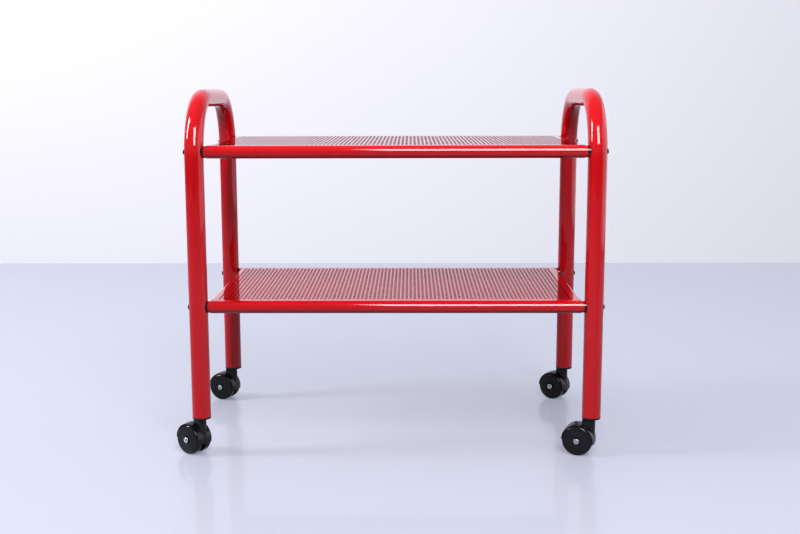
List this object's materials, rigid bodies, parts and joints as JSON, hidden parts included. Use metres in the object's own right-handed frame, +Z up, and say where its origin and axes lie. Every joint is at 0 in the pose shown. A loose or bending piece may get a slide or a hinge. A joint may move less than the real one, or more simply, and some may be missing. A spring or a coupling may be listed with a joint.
{
  "type": "serving trolley",
  "caption": "Two-shelf red tubular steel serving trolley with perforated shelves, looped push handles and black hooded twin-wheel swivel casters.",
  "frame": {"origin": "on the floor, midway between the four caster stems", "axes": "+X along the shelves to the right, +Y from the front to the back, +Z up"},
  "size_m": [0.7362, 0.4084, 0.623],
  "materials": {
    "red_lacquer": "gloss",
    "black_moulding": "gloss",
    "wheel_black": "gloss",
    "black_bolt": "satin",
    "zinc_steel": "satin",
    "axle_cap": "bright"
  },
  "bodies": {
    "root": {"end_frame_left": "red_lacquer", "end_frame_right": "red_lacquer", "upper_shelf": "red_lacquer", "lower_shelf": "red_lacquer", "upper_rail_front": "red_lacquer", "upper_rail_back": "red_lacquer", "lower_rail_front": "red_lacquer", "lower_rail_back": "red_lacquer", "upper_plug_front_left": "black_moulding", "upper_plug_front_right": "black_moulding", "upper_plug_back_left": "black_moulding", "upper_plug_back_right": "black_moulding", "lower_plug_front_left": "black_moulding", "lower_plug_front_right": "black_moulding", "lower_plug_back_left": "black_moulding", "lower_plug_back_right": "black_moulding", "upper_bolts": "black_bolt", "lower_bolts": "black_bolt", "upper_nuts": "zinc_steel", "lower_nuts": "zinc_steel", "front_left_socket": "black_moulding", "front_left_stem": "zinc_steel", "front_left_grip_ring": "zinc_steel", "front_right_socket": "black_moulding", "front_right_stem": "zinc_steel", "front_right_grip_ring": "zinc_steel", "back_left_socket": "black_moulding", "back_left_stem": "zinc_steel", "back_left_grip_ring": "zinc_steel", "back_right_socket": "black_moulding", "back_right_stem": "zinc_steel", "back_right_grip_ring": "zinc_steel"},
    "front_left_caster": {"front_left_hood": "black_moulding", "front_left_axle": "zinc_steel", "front_left_axle_caps": "axle_cap"},
    "front_left_near_wheel": {"front_left_wheel_near": "wheel_black"},
    "front_left_far_wheel": {"front_left_wheel_far": "wheel_black"},
    "front_right_caster": {"front_right_hood": "black_moulding", "front_right_axle": "zinc_steel", "front_right_axle_caps": "axle_cap"},
    "front_right_near_wheel": {"front_right_wheel_near": "wheel_black"},
    "front_right_far_wheel": {"front_right_wheel_far": "wheel_black"},
    "back_left_caster": {"back_left_hood": "black_moulding", "back_left_axle": "zinc_steel", "back_left_axle_caps": "axle_cap"},
    "back_left_near_wheel": {"back_left_wheel_near": "wheel_black"},
    "back_left_far_wheel": {"back_left_wheel_far": "wheel_black"},
    "back_right_caster": {"back_right_hood": "black_moulding", "back_right_axle": "zinc_steel", "back_right_axle_caps": "axle_cap"},
    "back_right_near_wheel": {"back_right_wheel_near": "wheel_black"},
    "back_right_far_wheel": {"back_right_wheel_far": "wheel_black"}
  },
  "joints": [
    {"name": "front_left_swivel", "type": "hinge", "parent": "root", "child": "front_left_caster", "pos_m": [-0.334, -0.175, 0.055], "axis": [0, 0, 1], "continuous": true},
    {"name": "front_left_near_wheel_spin", "type": "hinge", "parent": "front_left_caster", "child": "front_left_near_wheel", "pos_m": [-0.35099, -0.16266, 0.026], "axis": [0.5878, 0.809, 0], "continuous": true},
    {"name": "front_left_far_wheel_spin", "type": "hinge", "parent": "front_left_caster", "child": "front_left_far_wheel", "pos_m": [-0.35099, -0.16266, 0.026], "axis": [0.5878, 0.809, 0], "continuous": true},
    {"name": "front_right_swivel", "type": "hinge", "parent": "root", "child": "front_right_caster", "pos_m": [0.334, -0.175, 0.055], "axis": [0, 0, 1], "continuous": true},
    {"name": "front_right_near_wheel_spin", "type": "hinge", "parent": "front_right_caster", "child": "front_right_near_wheel", "pos_m": [0.31433, -0.16765, 0.026], "axis": [0.3502, 0.9367, 0], "continuous": true},
    {"name": "front_right_far_wheel_spin", "type": "hinge", "parent": "front_right_caster", "child": "front_right_far_wheel", "pos_m": [0.31433, -0.16765, 0.026], "axis": [0.3502, 0.9367, 0], "continuous": true},
    {"name": "back_left_swivel", "type": "hinge", "parent": "root", "child": "back_left_caster", "pos_m": [-0.334, 0.175, 0.055], "axis": [0, 0, 1], "continuous": true},
    {"name": "back_left_near_wheel_spin", "type": "hinge", "parent": "back_left_caster", "child": "back_left_near_wheel", "pos_m": [-0.3534, 0.18304, 0.026], "axis": [0.3827, 0.9239, 0], "continuous": true},
    {"name": "back_left_far_wheel_spin", "type": "hinge", "parent": "back_left_caster", "child": "back_left_far_wheel", "pos_m": [-0.3534, 0.18304, 0.026], "axis": [0.3827, 0.9239, 0], "continuous": true},
    {"name": "back_right_swivel", "type": "hinge", "parent": "root", "child": "back_right_caster", "pos_m": [0.334, 0.175, 0.055], "axis": [0, 0, 1], "continuous": true},
    {"name": "back_right_near_wheel_spin", "type": "hinge", "parent": "back_right_caster", "child": "back_right_near_wheel", "pos_m": [0.31734, 0.18778, 0.026], "axis": [0.6088, 0.7934, 0], "continuous": true},
    {"name": "back_right_far_wheel_spin", "type": "hinge", "parent": "back_right_caster", "child": "back_right_far_wheel", "pos_m": [0.31734, 0.18778, 0.026], "axis": [0.6088, 0.7934, 0], "continuous": true}
  ]
}
